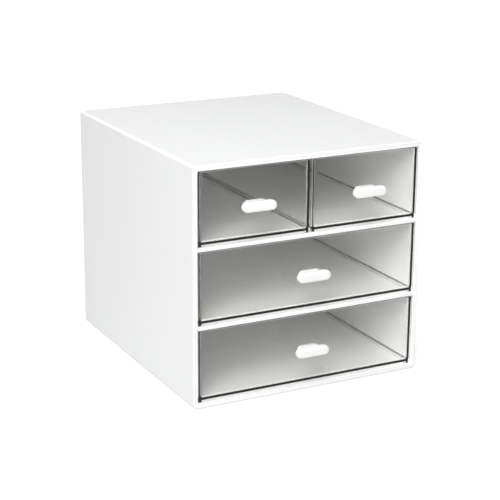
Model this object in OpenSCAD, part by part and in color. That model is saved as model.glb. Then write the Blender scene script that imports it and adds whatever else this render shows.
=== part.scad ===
// Desktop drawer cabinet: a white moulded case with two small clear drawers side by side
// above two full-width clear drawers. Each drawer is a one-piece tub with a flat front,
// stands on two runner ribs and carries a pill-shaped knob held by a clip on the inside.
// Millimetres, +Z up, front towards -Y. The origin is the middle of the overall box, at the
// level of the surface that the feet stand on.

/* [Case] */
// Outside width of the case
case_w = 163; // [140:1:200]
// Outside depth of the case, without the knobs
case_d = 184; // [140:1:220]
// Outside height of the case, without the feet
case_h = 155; // [130:1:190]
// Thickness of each side wall
side_t = 2.9; // [2.4:0.1:4]
// Thickness of the top board
top_t = 3.4; // [2.4:0.1:5]
// Thickness of the bottom board
base_t = 3; // [2.6:0.1:6]
// Thickness of each shelf
shelf_t = 2.3; // [2:0.1:4]
// Rounding of the four long outer edges
edge_r = 2; // [0.8:0.1:2.8]
// Rounding of the four long inner corners
corner_r = 0.8; // [0.4:0.1:1.5]

/* [Shelf and back fits] */
// Depth of the grooves that hold the shelves
groove_deep = 1.2; // [0.8:0.1:1.6]
// Plain length of a shelf ahead of its tongues, from the front edge
tongue_back = 6; // [3:0.5:20]
// Clearance round a shelf tongue and round the back panel
fit = 0.15; // [0.05:0.05:0.3]
// Thickness of the back panel
back_t = 2.5; // [1.8:0.1:4]
// Width of the rebate in which the back panel lies
rebate = 1.3; // [0.8:0.1:1.6]
// Height of the ribs on the inside of the back panel
back_rib_h = 2.4; // [1.5:0.1:4]
// Thickness of the ribs on the inside of the back panel
back_rib_t = 1.4; // [1:0.1:2.5]
// Length of a snap on the back panel
snap_l = 14; // [8:1:24]
// How far a snap stands out from the edge of the back panel
snap_h = 0.7; // [0.4:0.1:0.9]
// Depth of the shallow field in the outside of the back panel
field_deep = 0.6; // [0.3:0.1:1]
// Width of the border round that field
field_border = 9; // [5:0.5:20]

/* [Drawers] */
// Thickness of a drawer front
front_t = 1.6; // [1.2:0.1:3]
// Distance of a drawer front behind the front edges of the case
front_inset = 0.3; // [0:0.1:3]
// Gap beside a drawer front
front_gap = 0.4; // [0.3:0.05:1]
// Gap below a drawer front
bottom_gap = 0.7; // [0.3:0.05:1.2]
// Gap above a drawer front
top_gap = 0.6; // [0.3:0.05:1.2]
// Rounding of the corners of a drawer front
front_r = 0.8; // [0.4:0.1:3]
// Thickness of the walls of a drawer
wall_t = 1.2; // [1:0.1:2.2]
// Thickness of the floor of a drawer
floor_t = 1.3; // [1:0.1:2.4]
// Distance of the side walls behind the edge of the front
wall_inset = 0.6; // [0.05:0.05:2.5]
// Rounding of the outside edges of a drawer tub
tub_r = 3; // [2.7:0.1:5]
// Height of the drawer front above the side walls
wall_drop = 0.4; // [0.1:0.1:12]
// Gap between the back of a drawer and the back panel ribs
back_gap = 0.8; // [0.4:0.1:3]
// Height of the floor of a drawer above its shelf
floor_lift = 1.8; // [1.2:0.1:4]
// Thickness of the two runner ribs under a drawer
runner_t = 1.8; // [1:0.1:2.5]
// Distance of a runner's outer face inside the outer face of the side wall
runner_in = 0.3; // [0.1:0.1:1.5]
// Gap under the runner ribs
runner_gap = 0.2; // [0.1:0.05:0.4]
// Length of the tub behind the runner ribs
runner_end = 8; // [4:1:30]
// Height of the guide rib between the two small drawers
guide_h = 1.8; // [0.8:0.1:2.8]
// Thickness of that guide rib
guide_t = 1.8; // [0.8:0.1:2]
// Distance of the guide rib behind the front edge of its shelf
guide_back = 8; // [5:1:30]

/* [Knobs] */
// Length of a knob
knob_l = 23; // [18:0.5:32]
// Height of a knob
knob_h = 6.3; // [5.3:0.1:8]
// Thickness of a knob's grip
knob_t = 4.2; // [3:0.1:5.5]
// Rounding round the front of the grip
knob_r = 1.5; // [0.8:0.1:2]
// Distance from the drawer front to the face of the knob
knob_reach = 7.3; // [6.5:0.1:12]
// Height of the middle of a drawer's row above the middle of its knob
knob_drop = 0.6; // [0:0.1:4]
// Length of the neck behind the grip
neck_l = 14; // [13:0.5:17.5]
// Height of the neck
neck_h = 4.5; // [4.2:0.1:5.2]
// Radius of the two pegs through the drawer front
peg_r = 1.5; // [1.2:0.1:1.6]
// Distance between the two pegs
peg_span = 10; // [8:0.5:11]
// Clearance round a peg
peg_gap = 0.08; // [0.04:0.01:0.15]
// Thickness of the clip inside the drawer front
clip_t = 1.2; // [0.8:0.1:2]
// How far the clip stands out round the neck's outline
clip_lip = 0.5; // [0:0.1:1]

/* [Feet] */
// Radius of a rubber foot
foot_r = 5.5; // [4:0.5:9]
// Thickness of a rubber foot
foot_t = 1.8; // [1.4:0.1:3]
// Depth of the recess in which a foot is stuck
foot_sunk = 0.8; // [0.4:0.1:1.2]
// Distance from the outside of the case to the middle of a foot
foot_in = 13; // [11:0.5:30]

/* [Hidden] */

$fn = 64;
// A little extra length, so that a cut runs clear of the face that it goes through
over = 1;

// Case: planes and the room inside it
knob_out = knob_reach - front_inset;
y_front = (knob_out - case_d) / 2;
y_back = y_front + case_d;
z_base = foot_t - foot_sunk;
inner_w = case_w - 2 * side_t;
inner_h = case_h - top_t - base_t;
z_floor = z_base + base_t;
row_h = (inner_h - 2 * shelf_t) / 3;
z_lower_shelf = z_floor + row_h;
z_upper_shelf = z_lower_shelf + shelf_t + row_h;
y_panel = y_back - back_t;
snap_w = 1.2;
snap_rows = [0.25, 0.75];

// Drawers: floor levels of the three rows, and the width and middle of each front
z_middle_row = z_lower_shelf + shelf_t;
z_upper_row = z_upper_shelf + shelf_t;
full_w = inner_w - 2 * front_gap;
half_w = (inner_w - 4 * front_gap) / 2;
half_x = inner_w / 4;
front_h = row_h - bottom_gap - top_gap;
tub_d = y_panel - back_rib_h - back_gap - y_front - front_inset - front_t;
tub_h = front_h + bottom_gap - floor_lift - wall_drop;
cavity_r = tub_r - wall_t;

// Knobs and clips
knob_z = row_h / 2 - knob_drop;
neck_t = knob_reach - knob_t;
clip_l = neck_l + 2 * clip_lip;
clip_h = neck_h + 2 * clip_lip;
peg_l = front_t + clip_t;
barb_l = 0.9;
barb_r = peg_r + 0.35;

// Colours
case_white = [0.95, 0.96, 0.96];
shelf_white = [0.93, 0.94, 0.94];
panel_white = [0.90, 0.91, 0.91];
clear_plastic = [0.80, 0.80, 0.77, 0.45];
knob_white = [0.98, 0.98, 0.97];
clip_white = [0.94, 0.94, 0.93];
foot_grey = [0.62, 0.63, 0.64];

// Rectangle with rounded corners, centred
module round_rect(w, h, r) {
    square([w - 2 * r, h], center = true);
    square([w, h - 2 * r], center = true);
    for (x = [-1, 1], y = [-1, 1])
        translate([x * (w / 2 - r), y * (h / 2 - r)])
            circle(r);
}

// Bar with round ends, centred
module stadium(l, h) {
    square([l - h, h], center = true);
    for (x = [-1, 1])
        translate([x * (l - h) / 2, 0])
            circle(h / 2);
}

// Stands a flat outline up in the XZ plane and makes it deep, from y = 0 towards +y
module stand(deep) {
    translate([0, deep, 0])
        rotate([90, 0, 0])
            linear_extrude(deep)
                children();
}

// Block with rounded floor edges and rounded upright corners: w across x, d along +y, h up
module tub_block(w, d, h, r) {
    translate([0, d / 2, r])
        linear_extrude(h - r)
            round_rect(w, d, r);
    translate([-w / 2 + r, r, 0])
        cube([w - 2 * r, d - 2 * r, h]);
    for (x = [-1, 1])
        translate([x * (w / 2 - r), r, r])
            rotate([-90, 0, 0])
                cylinder(r = r, h = d - 2 * r);
    for (y = [r, d - r]) {
        translate([-w / 2 + r, y, r])
            rotate([0, 90, 0])
                cylinder(r = r, h = w - 2 * r);
        for (x = [-1, 1])
            translate([x * (w / 2 - r), y, r])
                sphere(r);
    }
}

// The outside of a drawer's tub: square where it meets the front, rounded at the rear
module tub_outside(w) {
    intersection() {
        translate([0, -2 * tub_r, 0])
            tub_block(w, tub_d + 2 * tub_r, tub_h, tub_r);
        translate([-w, 0, 0])
            cube([2 * w, tub_d, tub_h]);
    }
}

// Places its children at the two pegs of a knob
module at_pegs() {
    for (x = [-1, 1])
        translate([x * peg_span / 2, 0, 0])
            rotate([-90, 0, 0])
                children();
}

// Places its children at a drawer's origin: the middle of the front's outer face, at the
// level of the shelf that the drawer stands on
module at_drawer(x, z) {
    translate([x, y_front + front_inset, z])
        children();
}

// Places its children on the outer face of a drawer's front, at the middle of its knob
module at_knob(x, z) {
    at_drawer(x, z + knob_z)
        children();
}

// One clear drawer, of width w at its front
module drawer(w) {
    tub_w = w - 2 * wall_inset;
    runner_x = w / 2 - wall_inset - runner_in;
    runner_h = floor_lift + tub_r - runner_gap;
    color(clear_plastic)
        difference() {
            union() {
                translate([0, 0, bottom_gap + front_h / 2])
                    stand(front_t)
                        round_rect(w, front_h, front_r);
                translate([0, front_t, floor_lift])
                    tub_outside(tub_w);
                for (x = [-runner_x, runner_x - runner_t])
                    translate([x, front_t, runner_gap])
                        cube([runner_t, tub_d - runner_end, runner_h]);
            }
            translate([0, front_t, floor_lift + floor_t])
                tub_block(tub_w - 2 * wall_t, tub_d - wall_t, tub_h, cavity_r);
            translate([0, -over, knob_z])
                at_pegs()
                    cylinder(r = peg_r + peg_gap, h = front_t + 2 * over);
        }
}

// Upper half of the grip's cross-section, which is flat at the back and rounded in front
module grip_profile() {
    square([knob_h / 2, knob_t - knob_r]);
    square([knob_h / 2 - knob_r, knob_t]);
    translate([knob_h / 2 - knob_r, knob_t - knob_r])
        circle(knob_r);
}

// The pill-shaped grip, its flat back at y = 0 and its face towards -y
module grip() {
    straight = knob_l - knob_h;
    rotate([90, 0, 0]) {
        for (x = [-1, 1])
            translate([x * straight / 2, 0, 0])
                rotate_extrude()
                    intersection() {
                        grip_profile();
                        square([knob_h, knob_t]);
                    }
        for (turn = [0, 1])
            mirror([0, turn, 0])
                translate([-straight / 2, 0, 0])
                    rotate([90, 0, 90])
                        linear_extrude(straight)
                            grip_profile();
    }
}

// One knob: grip, neck and two pegs with barbed ends
module knob() {
    color(knob_white) {
        translate([0, -neck_t, 0])
            grip();
        translate([0, -neck_t - over, 0])
            stand(neck_t + over)
                stadium(neck_l, neck_h);
        at_pegs() {
            translate([0, 0, -over])
                cylinder(r = peg_r, h = peg_l + barb_l + over);
            translate([0, 0, peg_l])
                cylinder(r1 = barb_r, r2 = peg_r, h = barb_l);
        }
    }
}

// One clip: a small plate behind the drawer front that the pegs snap through
module knob_clip() {
    color(clip_white)
        translate([0, front_t, 0])
            difference() {
                stand(clip_t)
                    stadium(clip_l, clip_h);
                translate([0, -over, 0])
                    at_pegs()
                        cylinder(r = peg_r + peg_gap, h = clip_t + 2 * over);
            }
}

// Places its children at the middle of a foot, at the level of the recess
module at_foot(side, end) {
    x = case_w / 2 - foot_in;
    y = end < 0 ? y_front + foot_in : y_back - foot_in;
    translate([side * x, y, 0])
        children();
}

// Places its children at each snap of the back panel: mid-length, on the panel's edge
module at_snaps() {
    edge = inner_w / 2 + rebate;
    for (side = [-1, 1], share = snap_rows)
        translate([side * edge, y_panel + back_t / 2, z_floor + share * inner_h])
            children();
}

// The case: a sleeve of top, bottom and two sides, open in front and rebated behind
module cabinet_shell() {
    color(case_white)
        difference() {
            translate([0, y_front, z_base + case_h / 2])
                stand(case_d)
                    round_rect(case_w, case_h, edge_r);
            translate([0, y_front - over, z_floor + inner_h / 2])
                stand(case_d + 2 * over)
                    round_rect(inner_w, inner_h, corner_r);
            for (z = [z_lower_shelf, z_upper_shelf])
                translate([-inner_w / 2 - groove_deep, y_front + tongue_back, z])
                    cube([inner_w + 2 * groove_deep, case_d, shelf_t + fit]);
            translate([-inner_w / 2 - rebate, y_panel, z_floor - rebate])
                cube([inner_w + 2 * rebate, back_t + over, inner_h + 2 * rebate]);
            at_snaps()
                cube([2 * (snap_h + fit), snap_w + 2 * fit, snap_l + 2 * fit], center = true);
            for (side = [-1, 1], end = [-1, 1])
                at_foot(side, end)
                    cylinder(r = foot_r + fit, h = foot_t);
        }
}

// The back: a plate in the case's rebate, with snaps at its sides, a rim that keeps the
// case square and ribs above and below the rear edge of each shelf
module back_panel() {
    plate_w = inner_w + 2 * rebate - 2 * fit;
    plate_h = inner_h + 2 * rebate - 2 * fit;
    rim_w = inner_w - 2 * fit;
    rim_h = inner_h - 2 * fit;
    z_mid = z_floor + inner_h / 2;
    color(panel_white) {
        difference() {
            translate([0, y_panel, z_mid])
                stand(back_t)
                    square([plate_w, plate_h], center = true);
            translate([0, y_back - field_deep, z_mid])
                stand(field_deep + over)
                    round_rect(plate_w - 2 * field_border, plate_h - 2 * field_border, field_border / 2);
        }
        at_snaps()
            cube([2 * snap_h, snap_w, snap_l], center = true);
        difference() {
            translate([0, y_panel - back_rib_h, z_mid])
                stand(back_rib_h)
                    round_rect(rim_w, rim_h, corner_r);
            translate([0, y_panel - back_rib_h - over, z_mid])
                stand(back_rib_h + over)
                    square([rim_w - 2 * back_rib_t, rim_h - 2 * back_rib_t], center = true);
            for (z = [z_lower_shelf, z_upper_shelf])
                translate([-case_w / 2, y_panel - back_rib_h - over, z - fit])
                    cube([case_w, back_rib_h + over, shelf_t + 2 * fit]);
        }
        for (z = [z_lower_shelf, z_upper_shelf], under = [true, false])
            translate([-rim_w / 2, y_panel - back_rib_h, under ? z - fit - back_rib_t : z + shelf_t + fit])
                cube([rim_w, back_rib_h, back_rib_t]);
    }
}

// One shelf: plain between the side walls in front, with tongues in their grooves behind
module shelf(z) {
    color(shelf_white)
        translate([0, y_front, z]) {
            translate([-inner_w / 2 + fit, 0, 0])
                cube([inner_w - 2 * fit, case_d - back_t, shelf_t]);
            translate([-inner_w / 2 - groove_deep + fit, tongue_back + fit, 0])
                cube([inner_w + 2 * groove_deep - 2 * fit, case_d - back_t - tongue_back - fit, shelf_t]);
            children();
        }
}

// The upper shelf also has the low rib that keeps the two small drawers apart
module upper_shelf() {
    shelf(z_upper_shelf)
        translate([-guide_t / 2, guide_back, shelf_t])
            cube([guide_t, case_d - back_t - back_rib_h - guide_back, guide_h]);
}

module lower_shelf() {
    shelf(z_lower_shelf);
}

// One rubber foot: a disc with a bevelled lower edge
module foot() {
    bevel = 0.3;
    color(foot_grey) {
        cylinder(r1 = foot_r - bevel, r2 = foot_r, h = bevel);
        translate([0, 0, bevel])
            cylinder(r = foot_r, h = foot_t - bevel);
    }
}

module drawer_upper_left() { at_drawer(-half_x, z_upper_row) drawer(half_w); }
module drawer_upper_right() { at_drawer(half_x, z_upper_row) drawer(half_w); }
module drawer_middle() { at_drawer(0, z_middle_row) drawer(full_w); }
module drawer_lower() { at_drawer(0, z_floor) drawer(full_w); }
module knob_upper_left() { at_knob(-half_x, z_upper_row) knob(); }
module knob_upper_right() { at_knob(half_x, z_upper_row) knob(); }
module knob_middle() { at_knob(0, z_middle_row) knob(); }
module knob_lower() { at_knob(0, z_floor) knob(); }
module knob_clip_upper_left() { at_knob(-half_x, z_upper_row) knob_clip(); }
module knob_clip_upper_right() { at_knob(half_x, z_upper_row) knob_clip(); }
module knob_clip_middle() { at_knob(0, z_middle_row) knob_clip(); }
module knob_clip_lower() { at_knob(0, z_floor) knob_clip(); }
module foot_front_left() { at_foot(-1, -1) foot(); }
module foot_front_right() { at_foot(1, -1) foot(); }
module foot_rear_left() { at_foot(-1, 1) foot(); }
module foot_rear_right() { at_foot(1, 1) foot(); }

cabinet_shell();
back_panel();
upper_shelf();
lower_shelf();
drawer_upper_left();
drawer_upper_right();
drawer_middle();
drawer_lower();
knob_upper_left();
knob_upper_right();
knob_middle();
knob_lower();
knob_clip_upper_left();
knob_clip_upper_right();
knob_clip_middle();
knob_clip_lower();
foot_front_left();
foot_front_right();
foot_rear_left();
foot_rear_right();
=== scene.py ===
import math

import bmesh
import bpy
from bpy.props import FloatProperty, FloatVectorProperty, IntProperty, PointerProperty
from mathutils import Matrix, Vector


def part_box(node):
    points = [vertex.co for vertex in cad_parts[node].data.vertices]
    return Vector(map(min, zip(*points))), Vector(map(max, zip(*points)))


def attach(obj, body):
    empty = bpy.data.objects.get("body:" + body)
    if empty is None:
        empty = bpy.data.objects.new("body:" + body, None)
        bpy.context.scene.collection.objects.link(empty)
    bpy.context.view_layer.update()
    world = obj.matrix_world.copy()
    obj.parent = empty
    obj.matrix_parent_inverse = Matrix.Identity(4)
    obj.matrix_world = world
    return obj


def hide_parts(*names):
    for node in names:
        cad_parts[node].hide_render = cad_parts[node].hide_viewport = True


bl_info = {
    "name": "Desk Cabinet with Clear Drawers",
    "version": (1, 0, 0),
    "blender": (4, 5, 0),
    "location": "3D View > Sidebar > Cabinet",
    "description": "Builds a white desk cabinet with four clear drawers and its studio",
    "category": "Add Mesh",
}

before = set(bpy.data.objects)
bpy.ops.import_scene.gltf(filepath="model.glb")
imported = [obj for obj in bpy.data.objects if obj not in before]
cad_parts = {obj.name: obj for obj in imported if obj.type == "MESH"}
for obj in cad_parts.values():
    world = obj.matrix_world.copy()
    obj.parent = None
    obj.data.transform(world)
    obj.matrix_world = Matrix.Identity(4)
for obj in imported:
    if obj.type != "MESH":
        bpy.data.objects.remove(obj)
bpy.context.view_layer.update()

# Lengths, in metres
MM = 0.001
SKIN_WELD = 2e-7  # points of a new skin that are this close become one
CARVED_WELD = 1e-6  # the same after a cut
SLIVER = 0.00002  # a rounding that only keeps a corner from being empty
HAIR = 0.0001  # an overlap or a step too small to see
THIN_ROUND = 0.0002  # rounding of the thinnest ribs
FINE_ROUND = 0.0003  # rounding of ribs, runners and small plates
SMALL_ROUND = 0.0004  # rounding of corners on the back panel, the neck and the case's rear edge
SUNK = 0.0005  # how far the ribs of the back reach into its plate

# Steps round a quarter turn, or round a whole outline
CORNER_STEPS = 8
EDGE_STEPS = 4
BAR_STEPS = 3
FILLET_STEPS = 8
STADIUM_STEPS = 16
CIRCLE_STEPS = 32

SIDES = (-1, 1)
INNER_LIP = 0.7  # rounding of the case's inner front edge as a share of the outer one
SHARP_ANGLE = math.radians(32)
PLACES = ("upper_left", "upper_right", "middle", "lower")
SHELVES = ("lower_shelf", "upper_shelf")
FEET = ("foot_front_left", "foot_front_right", "foot_rear_left", "foot_rear_right")

# Slot: setting of its colour, roughness, grain per metre, grain depth, cloudiness
WHITES = {
    "case_white": ("case", 0.34, 2600.0, 0.00003, 0.012),
    "shelf_white": ("shelf", 0.32, 2600.0, 0.00002, 0.012),
    "panel_white": ("back", 0.52, 1900.0, 0.00006, 0.015),
    "knob_white": ("knob", 0.24, 3200.0, 0.00001, 0.006),
    "clip_white": ("clip", 0.30, 3200.0, 0.00001, 0.008),
}

# Name, place, point that it faces, side of its square, setting of its power
LAMPS = (
    ("key_light", (-1.17, -1.3, 1.21), (0, 0, 0.08), 0.9, "key"),
    ("fill_light", (-0.5, -0.8, 1.5), (0, 0, 0.08), 0.8, "fill"),
    ("top_light", (0.1, 0.1, 1.6), (0, 0, 0.1), 1.0, "top"),
)
FLOOR_HALF = 60.0  # half the side of the floor
GLOW_MIDDLE = (-0.1, -0.4, 0)  # where the floor shines least
GLOW_START, GLOW_END = 0.4, 0.62  # distances from there between which its shine grows
BOUNCES = {
    "max_bounces": 24,
    "diffuse_bounces": 14,
    "glossy_bounces": 6,
    "transmission_bounces": 20,
    "transparent_max_bounces": 24,
}


def length(name, text, millimetres):
    """A property for a length, given in millimetres."""
    return FloatProperty(
        name=name, description=text, default=millimetres * MM, min=0.0, precision=5,
        subtype="DISTANCE", unit="LENGTH",
    )


def colour(name, text, value):
    """A property for a colour, linear red, green and blue."""
    return FloatVectorProperty(
        name=name, description=text, default=value, min=0.0, max=1.0, size=3, subtype="COLOR",
    )


def angle(name, text, degrees):
    """A property for an angle, given in degrees."""
    return FloatProperty(
        name=name, description=text, default=math.radians(degrees), subtype="ANGLE", unit="ROTATION",
    )


# ---------------------------------------------------------------- settings


class CaseSettings(bpy.types.PropertyGroup):
    """Sizes of the case, its shelves and its back."""

    side_wall: length("Side Wall", "Thickness of each side", 2.9)
    top_wall: length("Top", "Thickness of the top", 3.4)
    base_wall: length("Base", "Thickness of the bottom", 3.0)
    edge_round: length("Edge Rounding", "Rounding of the four long outer edges", 2.0)
    inner_round: length("Inner Rounding", "Rounding of the four long inner corners", 0.8)
    lip_round: length("Lip Rounding", "Rounding round the front edge", 0.55)
    groove: length("Groove", "Depth of the grooves that hold the shelves", 1.2)
    tongue_back: length("Tongue Start", "Distance of the shelf tongues behind the front edge", 6.0)
    fit: length("Clearance", "Clearance round tongues and back", 0.15)
    shelf_round: length("Shelf Rounding", "Rounding of the shelf edges", 0.4)
    guide: length("Guide Rib", "Thickness of the rib between the two small drawers", 1.8)
    guide_back: length("Guide Start", "Distance of that rib behind the front edge", 8.0)
    guide_height: length("Guide Height", "Height of that rib above its shelf", 1.8)
    back: length("Back Panel", "Thickness of the back panel", 2.5)
    rebate: length("Rebate", "Width of the rebate round the back panel", 1.3)
    rib: length("Back Rib", "Thickness of the ribs inside the back panel", 1.4)
    rib_height: length("Rib Height", "Height of those ribs", 2.4)
    border: length("Back Border", "Width of the raised border of the back panel", 9.0)
    field: length("Back Field", "Depth of the field inside that border", 0.6)


class DrawerSettings(bpy.types.PropertyGroup):
    """Sizes of the clear drawers."""

    front: length("Front", "Thickness of a drawer front", 1.6)
    front_gap: length("Front Gap", "Gap between a front and the shelf under it", 0.7)
    front_round: length("Front Corner", "Rounding of the corners of a front", 0.8)
    edge_round: length("Edge Rounding", "Rounding round the edges of a front", 0.45)
    wall: length("Wall", "Thickness of the walls", 1.2)
    floor: length("Floor", "Thickness of the floor", 1.3)
    wall_inset: length("Wall Inset", "Distance of the side walls behind the edge of the front", 0.6)
    wall_drop: length("Wall Drop", "Height of the front above the side walls", 0.4)
    tub_round: length("Tub Rounding", "Rounding of the outside edges of a tub", 3.0)
    rim_round: length("Rim Rounding", "Rounding of the rim of a tub", 0.35)
    floor_lift: length("Floor Lift", "Height of the floor above its shelf", 1.8)
    runner: length("Runner", "Thickness of the two runner ribs", 1.8)
    runner_inset: length("Runner Inset", "Distance of a runner inside the side wall", 0.3)
    runner_gap: length("Runner Gap", "Gap under the runner ribs", 0.2)
    runner_end: length("Runner End", "Length of the tub behind the runner ribs", 8.0)


class KnobSettings(bpy.types.PropertyGroup):
    """Sizes of the knobs and their pegs."""

    grip: length("Grip", "Thickness of the grip", 4.2)
    face_round: length("Face Rounding", "Rounding round the front of the grip", 1.5)
    heel_round: length("Heel Rounding", "Rounding round the back of the grip", 0.4)
    neck_length: length("Neck Length", "Length of the neck behind the grip", 14.0)
    neck_height: length("Neck Height", "Height of that neck", 4.5)
    peg: length("Peg Radius", "Radius of the two pegs", 1.5)
    peg_span: length("Peg Span", "Distance between the two pegs", 10.0)
    peg_gap: length("Peg Clearance", "Clearance round a peg", 0.08)
    barb: length("Barb", "Length of a peg's barb", 0.9)
    barb_lip: length("Barb Lip", "How far a barb stands out", 0.35)


class FootSettings(bpy.types.PropertyGroup):
    """Sizes of the rubber feet."""

    recess: length("Recess Clearance", "Clearance round a foot in its recess", 0.15)
    bevel: length("Foot Bevel", "Bevel round the underside of a foot", 0.3)
    dimple: length("Dimple", "Depth of the hollow in the underside of a foot", 0.35)
    sides: IntProperty(name="Foot Sides", description="Points round a foot", default=48, min=12)


class FinishSettings(bpy.types.PropertyGroup):
    """Colours and gloss of the plastics."""

    case: colour("Case", "White of the case", (0.935, 0.94, 0.945))
    shelf: colour("Shelf", "White of the shelves", (0.95, 0.95, 0.95))
    back: colour("Back Panel", "White of the back panel", (0.94, 0.94, 0.94))
    knob: colour("Knob", "White of the knobs", (0.93, 0.93, 0.925))
    clip: colour("Clip", "White of the clips", (0.90, 0.90, 0.89))
    rubber: colour("Rubber", "Grey of the feet", (0.42, 0.43, 0.44))
    clear: colour("Clear Plastic", "Surface tint of the drawers", (0.998, 0.997, 0.995))
    smoke: colour("Smoke", "What is left of the light inside thick clear plastic", (0.88, 0.88, 0.86))
    smoke_density: FloatProperty(
        name="Smoke Density", description="How fast clear plastic darkens with its depth",
        default=100.0, min=0.0,
    )
    clear_index: FloatProperty(
        name="Refraction", description="Refractive index of the clear plastic", default=1.5, min=1.0,
    )


class StageSettings(bpy.types.PropertyGroup):
    """Camera and light."""

    camera_place: FloatVectorProperty(
        name="Camera Place", description="Where the camera stands", default=(-0.4436, -0.8556, 0.3611),
        size=3, subtype="XYZ", unit="LENGTH",
    )
    azimuth: angle("Azimuth", "Turn of the camera to the right of straight ahead", 27.571)
    elevation: angle("Elevation", "How far the camera looks down", 16.821)
    roll: angle("Roll", "Tilt of the camera about its own axis", 0.44)
    lens: FloatProperty(name="Lens", description="Focal length for a 36 mm sensor", default=106.2)
    floor: colour("Floor", "Colour of the floor", (0.6, 0.6, 0.6))
    sky: FloatProperty(name="Room Light", description="Strength of the even light", default=0.06)
    near_glow: FloatProperty(name="Near Shine", description="Shine of the floor nearby", default=0.62)
    far_glow: FloatProperty(name="Far Shine", description="Shine of the floor far out", default=0.95)
    key: FloatProperty(name="Key Light", description="Watts of the front light", default=35.0)
    fill: FloatProperty(name="Fill Light", description="Watts of the high light", default=11.5)
    top: FloatProperty(name="Top Light", description="Watts of the overhead light", default=8.5)
    gamma: FloatProperty(name="Gamma", description="How far middle tones are raised", default=1.1)


SETTINGS = {
    "cabinet_case": CaseSettings,
    "cabinet_drawer": DrawerSettings,
    "cabinet_knob": KnobSettings,
    "cabinet_foot": FootSettings,
    "cabinet_finish": FinishSettings,
    "cabinet_stage": StageSettings,
}


# ---------------------------------------------------------------- node trees


class Wire:
    """An output socket. Sums and products of wires and numbers add Math nodes."""

    def __init__(self, tree, socket):
        self.tree = tree
        self.socket = socket

    def maths(self, operation, first, second):
        return self.tree.add("ShaderNodeMath", {"operation": operation}, {0: first, 1: second})

    def __add__(self, other):
        return self.maths("ADD", self, other)

    __radd__ = __add__

    def __mul__(self, other):
        return self.maths("MULTIPLY", self, other)

    __rmul__ = __mul__

    def __sub__(self, other):
        return self.maths("SUBTRACT", self, other)

    def __rsub__(self, other):
        return self.maths("SUBTRACT", other, self)


class Tree:
    """Adds nodes to one node tree."""

    def __init__(self, data):
        self.data = data
        data.nodes.clear()

    def add(self, kind, settings=None, inputs=None, output=0):
        """One node: its settings first, then numbers, colours or wires by socket. Returns one output."""
        node = self.data.nodes.new(kind)
        for key, value in (settings or {}).items():
            if key == "stops":
                ramp = node.color_ramp.elements
                for index, (place, level) in enumerate(value):
                    stop = ramp[index] if index < 2 else ramp.new(place)
                    stop.position = place
                    stop.color = (level, level, level, 1)
            else:
                setattr(node, key, value)
        for key, value in (inputs or {}).items():
            if isinstance(value, Wire):
                self.data.links.new(value.socket, node.inputs[key])
            else:
                node.inputs[key].default_value = value
        return Wire(self, node.outputs[output]) if len(node.outputs) else node

    def noise(self, place, scale, detail=2.0, roughness=0.5):
        inputs = {"Vector": place, "Scale": scale, "Detail": detail, "Roughness": roughness}
        return self.add("ShaderNodeTexNoise", {}, inputs)

    def blend(self, factor, first, second):
        """A colour between two others."""
        inputs = {0: factor, 6: (*first, 1), 7: (*second, 1)}
        return self.add("ShaderNodeMix", {"data_type": "RGBA"}, inputs, output=2)


def shader_tree(name):
    """A new material and its empty tree."""
    material = bpy.data.materials.new(name)
    material.use_nodes = True
    return material, Tree(material.node_tree)


def scaled(value, by):
    """A colour made lighter or darker."""
    return tuple(min(channel * by, 1.0) for channel in value)


def moulded_plastic(name, value, roughness, grain, grain_depth, cloudiness):
    """White moulded plastic: faint flow clouds, a fine eroded grain and small changes of gloss."""
    material, tree = shader_tree(name)
    place = tree.add("ShaderNodeTexCoord", output="Object")
    flow = tree.noise(place, scale=14.0, detail=3.0)
    smear = tree.noise(place, scale=90.0)
    pits = tree.noise(place, grain, detail=3.0, roughness=0.6)
    tone = tree.blend(
        flow * 0.8 + smear * 0.2, scaled(value, 1 - cloudiness), scaled(value, 1 + cloudiness)
    )
    gloss = roughness - 0.05 + flow * 0.06 + pits * 0.04
    bump = tree.add(
        "ShaderNodeBump", {}, {"Strength": 0.5, "Distance": grain_depth, "Height": pits}
    )
    surface = tree.add(
        "ShaderNodeBsdfPrincipled", {},
        {"Base Color": tone, "Roughness": gloss, "Normal": bump, "IOR": 1.5},
    )
    tree.add("ShaderNodeOutputMaterial", {}, {"Surface": surface})
    return material


def clear_plastic(name, finish):
    """Polished clear plastic, faintly smoky in its depth, that lets the lamps through."""
    material, tree = shader_tree(name)
    place = tree.add("ShaderNodeTexCoord", output="Object")
    haze = tree.noise(place, scale=35.0, detail=3.0)
    wipe = tree.add(
        "ShaderNodeValToRGB", {"stops": ((0.5, 0.0), (0.75, 1.0))},
        {"Fac": tree.noise(place, scale=9.0, detail=4.0, roughness=0.6)},
    )
    gloss = 0.008 + haze * 0.012 + wipe * 0.02
    solid = tree.add(
        "ShaderNodeBsdfPrincipled", {},
        {
            "Base Color": (*finish.clear, 1), "Roughness": gloss, "IOR": finish.clear_index,
            "Transmission Weight": 1.0,
        },
    )
    path = "ShaderNodeLightPath"
    lamps = tree.add(
        "ShaderNodeMath", {"operation": "MAXIMUM"},
        {0: tree.add(path, output="Is Shadow Ray"), 1: tree.add(path, output="Is Diffuse Ray")},
    )
    through = tree.add("ShaderNodeBsdfTransparent", {}, {"Color": (*finish.clear, 1)})
    both = tree.add("ShaderNodeMixShader", {}, {0: lamps, 1: solid, 2: through})
    depth = tree.add(
        "ShaderNodeVolumeAbsorption", {},
        {"Color": (*finish.smoke, 1), "Density": finish.smoke_density},
    )
    tree.add("ShaderNodeOutputMaterial", {}, {"Surface": both, "Volume": depth})
    return material


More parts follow.
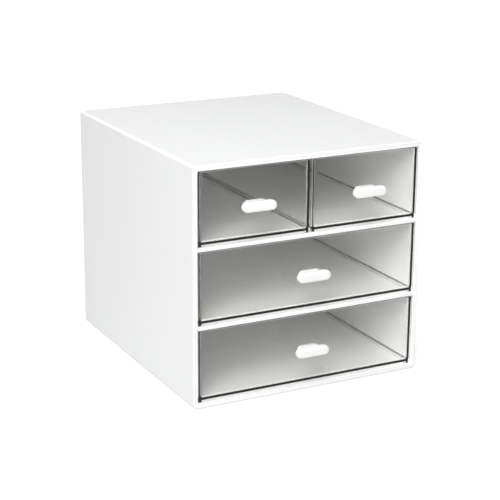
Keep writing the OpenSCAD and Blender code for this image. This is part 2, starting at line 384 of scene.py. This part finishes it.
def foot_rubber(name, value):
    """Soft rubber with a dusty, pebbled skin."""
    material, tree = shader_tree(name)
    place = tree.add("ShaderNodeTexCoord", output="Object")
    pebble = tree.add("ShaderNodeTexVoronoi", {}, {"Vector": place, "Scale": 2200.0})
    dust = tree.noise(place, scale=260.0, detail=4.0)
    tone = tree.blend(dust, scaled(value, 0.88), scaled(value, 1.16))
    bump = tree.add("ShaderNodeBump", {}, {"Strength": 0.5, "Distance": 0.00006, "Height": pebble})
    surface = tree.add(
        "ShaderNodeBsdfPrincipled", {},
        {
            "Base Color": tone, "Roughness": 0.72 + dust * 0.16, "Normal": bump,
            "Specular IOR Level": 0.35,
        },
    )
    tree.add("ShaderNodeOutputMaterial", {}, {"Surface": surface})
    return material


def finish_for(slot):
    """The material of one slot, made once."""
    name = "finish_" + slot
    if name in bpy.data.materials:
        return bpy.data.materials[name]
    finish = bpy.context.scene.cabinet_finish
    if slot == "drawer_clear":
        return clear_plastic(name, finish)
    if slot == "foot_rubber":
        return foot_rubber(name, finish.rubber)
    setting, *looks = WHITES[slot]
    return moulded_plastic(name, getattr(finish, setting), *looks)


# ---------------------------------------------------------------- meshes


def round_rect(x0, x1, y0, y1, radii, steps=CORNER_STEPS):
    """Rounded rectangle, anticlockwise: corners (x1, y0), (x1, y1), (x0, y1), (x0, y0)."""
    corners = ((x1, y0, 1, -1, -90), (x1, y1, 1, 1, 0), (x0, y1, -1, 1, 90), (x0, y0, -1, -1, 180))
    points = []
    for (x, y, side, end, start), radius in zip(corners, radii):
        for step in range(steps + 1):
            turn = math.radians(start + 90 * step / steps)
            points.append((
                x - side * radius + radius * math.cos(turn),
                y - end * radius + radius * math.sin(turn),
            ))
    return points


def stadium(x, z, long, high, steps=STADIUM_STEPS):
    """Outline of a bar with round ends, anticlockwise."""
    radius = high / 2
    points = []
    for side in (1, -1):
        for step in range(steps + 1):
            turn = math.radians(-90 * side + 180 * step / steps)
            points.append((
                x + side * (long / 2 - radius) + radius * math.cos(turn), z + radius * math.sin(turn)
            ))
    return points


def circle(x, y, radius, steps=CIRCLE_STEPS):
    """Outline of a circle, anticlockwise."""
    turns = (math.tau * step / steps for step in range(steps))
    return [(x + radius * math.cos(turn), y + radius * math.sin(turn)) for turn in turns]


def upright(points, y):
    """An outline stood up in the XZ plane at depth y."""
    return [(a, y, b) for a, b in points]


def level(points, z):
    """An outline laid flat at height z."""
    return [(a, b, z) for a, b in points]


def rounding(radius, steps=EDGE_STEPS):
    """(in, up) from the inner end of a quarter round to its outer end."""
    turns = (math.radians(90 * step / steps) for step in range(steps + 1))
    return [(radius * (1 - math.sin(turn)), radius * (1 - math.cos(turn))) for turn in turns]


def loft(shape, rings, ring_closed=False):
    """Skins successive rings of points. An open run is capped at both ends."""
    loops = [[shape.verts.new(point) for point in ring] for ring in rings]
    pairs = list(zip(loops, loops[1:]))
    if ring_closed:
        pairs.append((loops[-1], loops[0]))
    count = len(loops[0])
    for first, second in pairs:
        for index in range(count):
            after = (index + 1) % count
            shape.faces.new((first[index], first[after], second[after], second[index]))
    if not ring_closed:
        shape.faces.new(loops[0][::-1])
        shape.faces.new(loops[-1])


def weld(shape, name, distance):
    """Merges what coincides. A skin with an open edge is an error."""
    bmesh.ops.remove_doubles(shape, verts=shape.verts, dist=distance)
    bmesh.ops.dissolve_degenerate(shape, edges=shape.edges, dist=distance)
    if any(len(edge.link_faces) != 2 for edge in shape.edges):
        raise RuntimeError(f"{name} is not closed")


def solid(name, rings, ring_closed=False):
    """An object whose mesh is one closed skin over the rings, with its faces turned outwards."""
    shape = bmesh.new()
    loft(shape, rings, ring_closed)
    weld(shape, name, SKIN_WELD)
    bmesh.ops.recalc_face_normals(shape, faces=shape.faces)
    mesh = bpy.data.meshes.new(name)
    shape.to_mesh(mesh)
    shape.free()
    thing = bpy.data.objects.new(name, mesh)
    bpy.context.scene.collection.objects.link(thing)
    return thing


def settle(thing):
    """The object's modifiers become its mesh."""
    bpy.context.view_layer.update()
    graph = bpy.context.evaluated_depsgraph_get()
    mesh = bpy.data.meshes.new_from_object(thing.evaluated_get(graph))
    thing.modifiers.clear()
    thing.data = mesh
    return thing


def carve(thing, joined=(), cut=()):
    """Fuses other solids to one and cuts others from it. The others are used up."""
    for operation, others in (("UNION", joined), ("DIFFERENCE", cut)):
        for other in others:
            step = thing.modifiers.new(operation, "BOOLEAN")
            step.operation = operation
            step.solver = "EXACT"
            step.object = other
    settle(thing)
    for other in (*joined, *cut):
        bpy.data.objects.remove(other)
    shape = bmesh.new()
    shape.from_mesh(thing.data)
    weld(shape, thing.name, CARVED_WELD)
    shape.to_mesh(thing.data)
    shape.free()
    return thing


def dress(thing, body, slot, nodes):
    """Smooths a finished piece, gives it its finish and sets it on its body in place of its nodes."""
    thing.data.name = thing.name
    thing.data.materials.clear()
    thing.data.materials.append(finish_for(slot))
    thing.data.polygons.foreach_set("material_index", [0] * len(thing.data.polygons))
    thing.data.shade_smooth()
    thing.data.set_sharp_from_angle(angle=SHARP_ANGLE)
    weigh = thing.modifiers.new("weigh", "WEIGHTED_NORMAL")
    weigh.keep_sharp = True
    weigh.weight = 100
    settle(thing)
    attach(thing, body)
    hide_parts(*nodes)


def bar(name, x0, x1, y0, y1, z0, z1, radius):
    """A bar with all its edges rounded."""
    edge = rounding(radius)
    steps = [(i, z0 + up) for i, up in edge] + [(i, z1 - up) for i, up in edge[::-1]]
    return solid(name, [
        level(round_rect(x0 + i, x1 - i, y0 + i, y1 - i, [max(radius - i, 0)] * 4, BAR_STEPS), z)
        for i, z in steps
    ])


def peg_holes(x, z, y0, y1):
    """Cutters for the two holes that a knob's pegs pass through."""
    sizes = bpy.context.scene.cabinet_knob
    offset, radius = sizes.peg_span / 2, sizes.peg + sizes.peg_gap
    return [
        solid("hole", [upright(circle(x + side * offset, z, radius), y) for y in (y0, y1)])
        for side in SIDES
    ]


def start_group(name, numbers):
    """A Geometry Nodes tree that takes a mesh, some numbers and a finish, and its inputs by name."""
    group = bpy.data.node_groups.new(name, "GeometryNodeTree")
    face = group.interface
    face.new_socket("Geometry", in_out="INPUT", socket_type="NodeSocketGeometry")
    for number in numbers:
        face.new_socket(number, in_out="INPUT", socket_type="NodeSocketFloat")
    face.new_socket("Finish", in_out="INPUT", socket_type="NodeSocketMaterial")
    face.new_socket("Geometry", in_out="OUTPUT", socket_type="NodeSocketGeometry")
    tree = Tree(group)
    outputs = tree.add("NodeGroupInput").socket.node.outputs
    return tree, {key: Wire(tree, outputs[key]) for key in ("Geometry", *numbers, "Finish")}


def finish_group(tree, instances, finish):
    """Turns instances into mesh, gives them their finish and closes the group."""
    whole = tree.add("GeometryNodeRealizeInstances", {}, {"Geometry": instances})
    done = tree.add("GeometryNodeSetMaterial", {}, {"Geometry": whole, "Material": finish})
    tree.add("NodeGroupOutput", {}, {"Geometry": done})
    return tree.data


def apply_group(thing, group, values):
    """Runs a Geometry Nodes tree on an object, with values by input name, and keeps the result."""
    step = thing.modifiers.new(group.name, "NODES")
    step.node_group = group
    for item in group.interface.items_tree:
        if item.in_out == "INPUT" and item.name in values:
            step[item.identifier] = values[item.name]
    return settle(thing)


# ---------------------------------------------------------------- the case


def case_box():
    """Lowest and highest corner of the case."""
    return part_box("cabinet_shell")


def case_inside():
    """Left, right, lowest and highest place inside the case."""
    sizes = bpy.context.scene.cabinet_case
    low, high = case_box()
    return (
        low.x + sizes.side_wall, high.x - sizes.side_wall,
        low.z + sizes.base_wall, high.z - sizes.top_wall,
    )


def shelf_levels():
    """(underside, top) of each shelf's board, from the lower one up."""
    sizes = bpy.context.scene.cabinet_case
    levels = []
    for node in SHELVES:
        low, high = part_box(node)
        top = high.z - (sizes.guide_height if node == "upper_shelf" else 0)
        levels.append((low.z, top))
    return levels


def section(y, box, radius, grow, grooves, deep):
    """The case's section at depth y as a ring, with the shelf grooves sunk into both sides."""
    x0, x1, z0, z1 = box[0] - grow, box[1] + grow, box[2] - grow, box[3] + grow
    radius = max(radius + grow, SLIVER)
    corners = round_rect(x0, x1, z0, z1, [radius] * 4)
    quarter = CORNER_STEPS + 1
    right, left = [], []
    for low, high in grooves:
        right += [(x1, low), (x1 + deep, low), (x1 + deep, high), (x1, high)]
        left += [(x0, low), (x0 - deep, low), (x0 - deep, high), (x0, high)]
    points = corners[:quarter] + right + corners[quarter:3 * quarter] + left[::-1]
    return upright(points + corners[3 * quarter:], y)


def build_case():
    """The case: one moulded sleeve with a rounded lip, shelf grooves and a rebate behind."""
    sizes = bpy.context.scene.cabinet_case
    feet = bpy.context.scene.cabinet_foot
    low, high = case_box()
    outer, inner = (low.x, high.x, low.z, high.z), case_inside()
    grooves = [(bottom, top + sizes.fit) for bottom, top in shelf_levels()]
    panel = high.y - sizes.back
    rings = []
    for inward, up in rounding(sizes.lip_round * INNER_LIP)[::-1]:
        rings.append(section(low.y + inward, inner, sizes.inner_round, up, grooves, 0))
    for inward, up in rounding(sizes.lip_round):
        rings.append(section(low.y + up, outer, sizes.edge_round, -inward, grooves, 0))
    for inward, up in rounding(SMALL_ROUND)[::-1]:
        rings.append(section(high.y - up, outer, sizes.edge_round, -inward, grooves, 0))
    for y in (high.y, panel):
        rings.append(section(y, inner, HAIR - sizes.rebate, sizes.rebate, grooves, 0))
    tongue = low.y + sizes.tongue_back
    for y, deep in ((panel, sizes.groove), (tongue, sizes.groove), (tongue, 0)):
        rings.append(section(y, inner, sizes.inner_round, 0, grooves, deep))
    case = solid("case", rings, ring_closed=True)
    recesses = []
    for node in FEET:
        a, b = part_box(node)
        middle, radius = (a + b) / 2, (b.x - a.x) / 2 + feet.recess
        outline = circle(middle.x, middle.y, radius, feet.sides)
        recesses.append(solid("recess", [level(outline, z) for z in (low.z - MM, b.z)]))
    carve(case, cut=recesses)
    dress(case, "cabinet", "case_white", ["cabinet_shell"])


def build_shelf(node, bottom, top):
    """A shelf: plain between the side walls in front, with tongues in their grooves behind."""
    sizes = bpy.context.scene.cabinet_case
    low, high = case_box()
    front = high.x - sizes.side_wall - sizes.fit
    tongue = high.x - sizes.side_wall + sizes.groove - sizes.fit
    step = low.y + sizes.tongue_back + sizes.fit
    rear = high.y - sizes.back

    def outline(i):
        return [
            (-front + i, low.y + i), (front - i, low.y + i), (front - i, step + i),
            (tongue - i, step + i), (tongue - i, rear - i), (-tongue + i, rear - i),
            (-tongue + i, step + i), (-front + i, step + i),
        ]

    edge = rounding(sizes.shelf_round)
    rings = [level(outline(i), bottom + up) for i, up in edge]
    rings += [level(outline(i), top - up) for i, up in edge[::-1]]
    shelf = solid("board_" + node, rings)
    if node == "upper_shelf":
        half = sizes.guide / 2
        guide = bar(
            "guide", -half, half, low.y + sizes.guide_back, rear - sizes.rib_height,
            top - MM, top + sizes.guide_height, FINE_ROUND,
        )
        carve(shelf, joined=[guide])
    dress(shelf, "cabinet", "shelf_white", [node])


def rib_group():
    """Geometry Nodes: ribs in pairs, one pair at each shelf, all of one size."""
    tree, given = start_group("paired_ribs", ("Pair Gap", "Shelf Pitch"))
    ribs = given["Geometry"]
    for spacing in ("Pair Gap", "Shelf Pitch"):
        offset = tree.add("ShaderNodeCombineXYZ", {}, {"Z": given[spacing]})
        line = tree.add("GeometryNodeMeshLine", {}, {"Count": 2, "Offset": offset})
        ribs = tree.add("GeometryNodeInstanceOnPoints", {}, {"Points": line, "Instance": ribs})
    return finish_group(tree, ribs, given["Finish"])


def build_back():
    """The back panel: a bordered plate with a rim and paired ribs that hold the shelves."""
    sizes = bpy.context.scene.cabinet_case
    low, high = case_box()
    panel = high.y - sizes.back
    inner = case_inside()

    def ring(y, grow, radius):
        box = (inner[0] - grow, inner[1] + grow, inner[2] - grow, inner[3] + grow)
        return upright(round_rect(*box, [radius] * 4), y)

    edge = rounding(FINE_ROUND)
    reach = sizes.rebate - sizes.fit
    rings = [ring(panel + up, reach - i, SMALL_ROUND) for i, up in edge]
    rings += [ring(high.y - up, reach - i, SMALL_ROUND) for i, up in edge[::-1]]
    reach -= sizes.border
    rings += [ring(high.y - up, reach - i, sizes.border / 2) for i, up in edge]
    rings.append(ring(high.y - sizes.field, reach - SMALL_ROUND, sizes.border / 2))
    plate = solid("back_plate", rings)
    tip = panel - sizes.rib_height
    thick, clear, into = sizes.rib, sizes.fit, panel + SUNK
    rim = solid("rim", [
        ring(tip, -clear, sizes.inner_round),
        ring(into, -clear, sizes.inner_round),
        ring(into, -clear - thick, THIN_ROUND),
        ring(tip, -clear - thick, THIN_ROUND),
    ], ring_closed=True)
    levels = shelf_levels()
    slots = [
        bar("slot", low.x, high.x, tip - MM, panel, bottom - clear, top + clear, SLIVER)
        for bottom, top in levels
    ]
    carve(rim, cut=slots)
    bottom, top = levels[0]
    rib = bar(
        "rib", inner[0] + clear + thick / 2, inner[1] - clear - thick / 2, tip, into,
        bottom - clear - thick, bottom - clear, THIN_ROUND,
    )
    ribs = apply_group(rib, rib_group(), {
        "Pair Gap": top - bottom + 2 * clear + thick,
        "Shelf Pitch": levels[1][0] - bottom,
        "Finish": finish_for("panel_white"),
    })
    carve(plate, joined=[rim, ribs])
    dress(plate, "cabinet", "panel_white", ["back_panel"])


# ---------------------------------------------------------------- the drawers


def tub_ring(z, x0, x1, y0, y1, inward, radius, front=0.0):
    """One level of a tub's outside, which keeps its full length at the front."""
    radii = (front, max(radius, 0.0), max(radius, 0.0), front)
    return level(round_rect(x0 + inward, x1 - inward, y0, y1 - inward, radii), z)


def build_drawer(place):
    """A clear drawer: a front plate fused to a rounded tub that stands on two runner ribs."""
    sizes = bpy.context.scene.cabinet_drawer
    low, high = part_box("drawer_" + place)
    shelf = low.z - sizes.runner_gap
    knob_low, knob_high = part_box("knob_" + place)
    knob_x, knob_z = (knob_low.x + knob_high.x) / 2, (knob_low.z + knob_high.z) / 2
    behind = low.y + sizes.front

    edge = rounding(sizes.edge_round)
    steps = [(i, low.y + up) for i, up in edge] + [(0, behind)]
    plate = solid("clear_drawer_" + place, [
        upright(round_rect(
            low.x + i, high.x - i, shelf + sizes.front_gap + i, high.z - i, [sizes.front_round - i] * 4
        ), y)
        for i, y in steps
    ])

    x0, x1 = low.x + sizes.wall_inset, high.x - sizes.wall_inset
    bottom, rim = shelf + sizes.floor_lift, high.z - sizes.wall_drop
    large, small = sizes.tub_round, sizes.rim_round
    rings = [
        tub_ring(bottom + up, x0, x1, low.y + sizes.front / 2, high.y, i, large - i + HAIR)
        for i, up in rounding(large, FILLET_STEPS)
    ]
    rings += [
        tub_ring(rim - up, x0, x1, low.y + sizes.front / 2, high.y, i, large - i)
        for i, up in rounding(small)[::-1]
    ]
    tub = solid("tub", rings)

    wall, inside = sizes.wall, sizes.tub_round - sizes.wall
    rings = []
    for i, up in rounding(inside, FILLET_STEPS):
        box = (x0 + wall + i, x1 - wall - i, behind + i, high.y - wall - i)
        rings.append(level(round_rect(*box, [inside - i] * 4), bottom + sizes.floor + up))
    flare = [(up, rim - i) for i, up in rounding(small)]
    flare.append((small, rim + MM))
    for out, z in flare:
        box = (x0 + wall - out, x1 - wall + out, behind, high.y - wall + out)
        rings.append(level(round_rect(*box, [inside] * 4), z))
    cavity = solid("cavity", rings)

    runners = []
    for side in SIDES:
        face = (x0 if side < 0 else x1) - side * sizes.runner_inset
        inner_face = face - side * sizes.runner
        a, b = sorted((face, inner_face))
        runners.append(bar(
            "runner", a, b, behind - HAIR, high.y - sizes.runner_end, low.z,
            bottom + large, FINE_ROUND,
        ))
    holes = peg_holes(knob_x, knob_z, low.y - MM, behind + MM)
    carve(plate, joined=[tub, *runners], cut=[cavity, *holes])
    dress(plate, place + "_drawer", "drawer_clear", ["drawer_" + place])


# ---------------------------------------------------------------- knobs and clips


def build_knob(place):
    """A knob: a pill-shaped grip on a smaller neck, with two barbed pegs."""
    sizes = bpy.context.scene.cabinet_knob
    low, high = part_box("knob_" + place)
    x, z = (low.x + high.x) / 2, (low.z + high.z) / 2
    long, tall = high.x - low.x, high.z - low.z
    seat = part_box("drawer_" + place)[0].y
    heel = low.y + sizes.grip
    rings = [upright(stadium(x, z, sizes.neck_length, sizes.neck_height), seat)]
    for inward, up in rounding(SMALL_ROUND):
        outline = stadium(x, z, sizes.neck_length + 2 * up, sizes.neck_height + 2 * up)
        rings.append(upright(outline, heel + inward))
    for inward, up in rounding(sizes.heel_round):
        rings.append(upright(stadium(x, z, long - 2 * inward, tall - 2 * inward), heel - up))
    for inward, up in rounding(sizes.face_round, FILLET_STEPS)[::-1]:
        rings.append(upright(stadium(x, z, long - 2 * inward, tall - 2 * inward), low.y + up))
    knob = solid("pill_knob_" + place, rings)
    barb, wide = high.y - sizes.barb, sizes.peg + sizes.barb_lip
    steps = (
        (seat - MM, sizes.peg), (barb, sizes.peg), (barb, wide), (barb + HAIR, wide),
        (high.y, sizes.peg),
    )
    pegs = []
    for side in SIDES:
        middle = x + side * sizes.peg_span / 2
        pegs.append(solid("peg", [upright(circle(middle, z, radius), y) for y, radius in steps]))
    carve(knob, joined=pegs)
    dress(knob, place + "_drawer", "knob_white", ["knob_" + place])


def build_clip(place):
    """A clip: a small rounded plate behind the front that the pegs snap through."""
    node = "knob_clip_" + place
    low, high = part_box(node)
    x, z = (low.x + high.x) / 2, (low.z + high.z) / 2
    long, tall = high.x - low.x, high.z - low.z
    steps = [(0, low.y)] + [(i, high.y - up) for i, up in rounding(FINE_ROUND)[::-1]]
    clip = solid("plate_" + node, [
        upright(stadium(x, z, long - 2 * i, tall - 2 * i), y) for i, y in steps
    ])
    carve(clip, cut=peg_holes(x, z, low.y - MM, high.y + MM))
    dress(clip, place + "_drawer", "clip_white", [node])


# ---------------------------------------------------------------- feet


def corner_group():
    """Geometry Nodes: one foot repeated at the four corners of a rectangle."""
    tree, given = start_group("four_feet", ("Spread X", "Spread Y", "Middle Y"))
    inputs = {
        "Size X": given["Spread X"], "Size Y": given["Spread Y"], "Vertices X": 2, "Vertices Y": 2,
    }
    grid = tree.add("GeometryNodeMeshGrid", {}, inputs)
    middle = tree.add("ShaderNodeCombineXYZ", {}, {"Y": given["Middle Y"]})
    placed = tree.add("GeometryNodeSetPosition", {}, {"Geometry": grid, "Offset": middle})
    inputs = {"Points": placed, "Instance": given["Geometry"]}
    feet = tree.add("GeometryNodeInstanceOnPoints", {}, inputs)
    return finish_group(tree, feet, given["Finish"])


def build_feet():
    """Four rubber feet: discs with a bevelled edge and a shallow hollow underneath."""
    sizes = bpy.context.scene.cabinet_foot
    boxes = [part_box(node) for node in FEET]
    low, high = boxes[0]
    radius = (high.x - low.x) / 2
    places = [(a + b) / 2 for a, b in boxes]
    hollow = ((0.45, 1.0), (0.62, 0.8), (0.7, 0.25), (0.74, 0.0))  # shares of radius and of depth
    profile = [(radius * out, low.z + sizes.dimple * deep) for out, deep in hollow]
    profile += [
        (radius - sizes.bevel, low.z), (radius - sizes.bevel * 0.3, low.z + sizes.bevel * 0.3),
        (radius, low.z + sizes.bevel), (radius, high.z - sizes.bevel / 2),
        (radius - sizes.bevel / 2, high.z),
    ]
    foot = solid("rubber_feet", [level(circle(0, 0, r, sizes.sides), z) for r, z in profile])
    spread = max(p.x for p in places) - min(p.x for p in places)
    depth = max(p.y for p in places) - min(p.y for p in places)
    apply_group(foot, corner_group(), {
        "Spread X": spread, "Spread Y": depth, "Middle Y": sum(p.y for p in places) / 4,
        "Finish": finish_for("foot_rubber"),
    })
    dress(foot, "cabinet", "foot_rubber", FEET)


# ---------------------------------------------------------------- the studio


def plain_material(name, value, near_glow, far_glow):
    """The floor's plain white. To the eye it shines a little, more so far out, where the lamps fade."""
    material, tree = shader_tree(name)
    place = tree.add("ShaderNodeTexCoord", output="Object")
    tone = tree.blend(tree.noise(place, scale=3.0), scaled(value, 0.995), value)
    distance = tree.add(
        "ShaderNodeVectorMath", {"operation": "DISTANCE"}, {0: place, 1: GLOW_MIDDLE}, output="Value"
    )
    fade = tree.add(
        "ShaderNodeMapRange", {},
        {"Value": distance, "From Min": GLOW_START, "From Max": GLOW_END},
    )
    shine = tree.blend(fade, (near_glow,) * 3, (far_glow,) * 3)
    seen = tree.add("ShaderNodeLightPath", output="Is Camera Ray")
    glow = tree.add("ShaderNodeVectorMath", {"operation": "SCALE"}, {0: shine, "Scale": seen})
    surface = tree.add(
        "ShaderNodeBsdfPrincipled", {},
        {
            "Base Color": tone, "Roughness": 0.8, "Specular IOR Level": 0.2,
            "Emission Color": glow, "Emission Strength": 1.0,
        },
    )
    tree.add("ShaderNodeOutputMaterial", {}, {"Surface": surface})
    return material


def add_lamp(name, place, target, size, power):
    """A square soft light that faces a point."""
    data = bpy.data.lights.new(name, "AREA")
    data.size = size
    data.energy = power
    lamp = bpy.data.objects.new(name, data)
    bpy.context.scene.collection.objects.link(lamp)
    lamp.location = place
    lamp.rotation_euler = (Vector(target) - Vector(place)).to_track_quat("-Z", "Y").to_euler()


def build_stage():
    """Camera, floor and soft light."""
    scene = bpy.context.scene
    stage = scene.cabinet_stage
    turn, down = stage.azimuth, stage.elevation
    ahead = Vector((
        math.sin(turn) * math.cos(down), math.cos(turn) * math.cos(down), -math.sin(down)
    ))
    right = Vector((math.cos(turn), -math.sin(turn), 0))
    up = right.cross(ahead)
    tilt_right = right * math.cos(stage.roll) + up * math.sin(stage.roll)
    tilt_up = up * math.cos(stage.roll) - right * math.sin(stage.roll)
    camera = bpy.data.objects.new("camera", bpy.data.cameras.new("camera"))
    camera.data.lens = stage.lens
    camera.data.sensor_width = 36
    camera.data.clip_start = 0.01
    turned = Matrix((tilt_right, tilt_up, -ahead)).transposed().to_4x4()
    camera.matrix_world = Matrix.Translation(stage.camera_place) @ turned
    scene.collection.objects.link(camera)
    scene.camera = camera

    half = FLOOR_HALF
    corners = [(-half, -half, 0), (half, -half, 0), (half, half, 0), (-half, half, 0)]
    mesh = bpy.data.meshes.new("floor")
    mesh.from_pydata(corners, [], [(0, 1, 2, 3)])
    mesh.materials.append(plain_material(
        "floor_white", stage.floor, stage.near_glow, stage.far_glow
    ))
    floor = bpy.data.objects.new("floor", mesh)
    scene.collection.objects.link(floor)

    # The room is dim for the light, but white where the camera sees past the floor.
    world = bpy.data.worlds.new("studio")
    world.use_nodes = True
    scene.world = world
    tree = Tree(world.node_tree)
    seen = tree.add("ShaderNodeLightPath", output="Is Camera Ray")
    strength = tree.add("ShaderNodeMapRange", {}, {"Value": seen, "To Min": stage.sky})
    light = tree.add("ShaderNodeBackground", {}, {"Color": (1, 1, 1, 1), "Strength": strength})
    tree.add("ShaderNodeOutputWorld", {}, {"Surface": light})
    for *lamp, power in LAMPS:
        add_lamp(*lamp, getattr(stage, power))

    scene.view_settings.view_transform = "Standard"
    scene.view_settings.gamma = stage.gamma
    for limit, count in BOUNCES.items():
        setattr(scene.cycles, limit, count)


# ---------------------------------------------------------------- operators and panel


class CABINET_OT_case(bpy.types.Operator):
    """Build the white case"""

    bl_idname = "cabinet.case"
    bl_label = "Build Case"

    def execute(self, context):
        build_case()
        return {"FINISHED"}


class CABINET_OT_shelves(bpy.types.Operator):
    """Build the two shelves"""

    bl_idname = "cabinet.shelves"
    bl_label = "Build Shelves"

    def execute(self, context):
        for node, (bottom, top) in zip(SHELVES, shelf_levels()):
            build_shelf(node, bottom, top)
        return {"FINISHED"}


class CABINET_OT_back(bpy.types.Operator):
    """Build the back panel with its ribs"""

    bl_idname = "cabinet.back"
    bl_label = "Build Back Panel"

    def execute(self, context):
        build_back()
        return {"FINISHED"}


class CABINET_OT_drawers(bpy.types.Operator):
    """Build the four clear drawers"""

    bl_idname = "cabinet.drawers"
    bl_label = "Build Drawers"

    def execute(self, context):
        for place in PLACES:
            build_drawer(place)
        return {"FINISHED"}


class CABINET_OT_knobs(bpy.types.Operator):
    """Build the four knobs"""

    bl_idname = "cabinet.knobs"
    bl_label = "Build Knobs"

    def execute(self, context):
        for place in PLACES:
            build_knob(place)
        return {"FINISHED"}


class CABINET_OT_clips(bpy.types.Operator):
    """Build the clips that hold the knobs"""

    bl_idname = "cabinet.clips"
    bl_label = "Build Clips"

    def execute(self, context):
        for place in PLACES:
            build_clip(place)
        return {"FINISHED"}


class CABINET_OT_feet(bpy.types.Operator):
    """Build the four rubber feet"""

    bl_idname = "cabinet.feet"
    bl_label = "Build Feet"

    def execute(self, context):
        build_feet()
        return {"FINISHED"}


class CABINET_OT_stage(bpy.types.Operator):
    """Set up the camera, the floor and the light"""

    bl_idname = "cabinet.stage"
    bl_label = "Set Up Studio"

    def execute(self, context):
        build_stage()
        return {"FINISHED"}


OPERATORS = (
    CABINET_OT_stage, CABINET_OT_case, CABINET_OT_shelves, CABINET_OT_back, CABINET_OT_drawers,
    CABINET_OT_knobs, CABINET_OT_clips, CABINET_OT_feet,
)


class CABINET_PT_panel(bpy.types.Panel):
    """Settings and build steps of the desk cabinet"""

    bl_idname = "CABINET_PT_panel"
    bl_label = "Desk Cabinet"
    bl_space_type = "VIEW_3D"
    bl_region_type = "UI"
    bl_category = "Cabinet"

    def draw(self, context):
        for operator in OPERATORS:
            self.layout.operator(operator.bl_idname)
        for name, group in SETTINGS.items():
            box = self.layout.box()
            box.label(text=group.__doc__)
            for key in group.__annotations__:
                box.prop(getattr(context.scene, name), key)


CLASSES = (*SETTINGS.values(), *OPERATORS, CABINET_PT_panel)


def register():
    """Makes the classes and the scene's settings known."""
    for item in CLASSES:
        bpy.utils.register_class(item)
    for name, group in SETTINGS.items():
        setattr(bpy.types.Scene, name, PointerProperty(type=group))


def unregister():
    """Takes them away again."""
    for name in SETTINGS:
        delattr(bpy.types.Scene, name)
    for item in reversed(CLASSES):
        bpy.utils.unregister_class(item)


def main():
    register()
    bpy.ops.cabinet.stage()
    bpy.ops.cabinet.case()
    bpy.ops.cabinet.shelves()
    bpy.ops.cabinet.back()
    bpy.ops.cabinet.drawers()
    bpy.ops.cabinet.knobs()
    bpy.ops.cabinet.clips()
    bpy.ops.cabinet.feet()


if __name__ == "__main__":
    main()
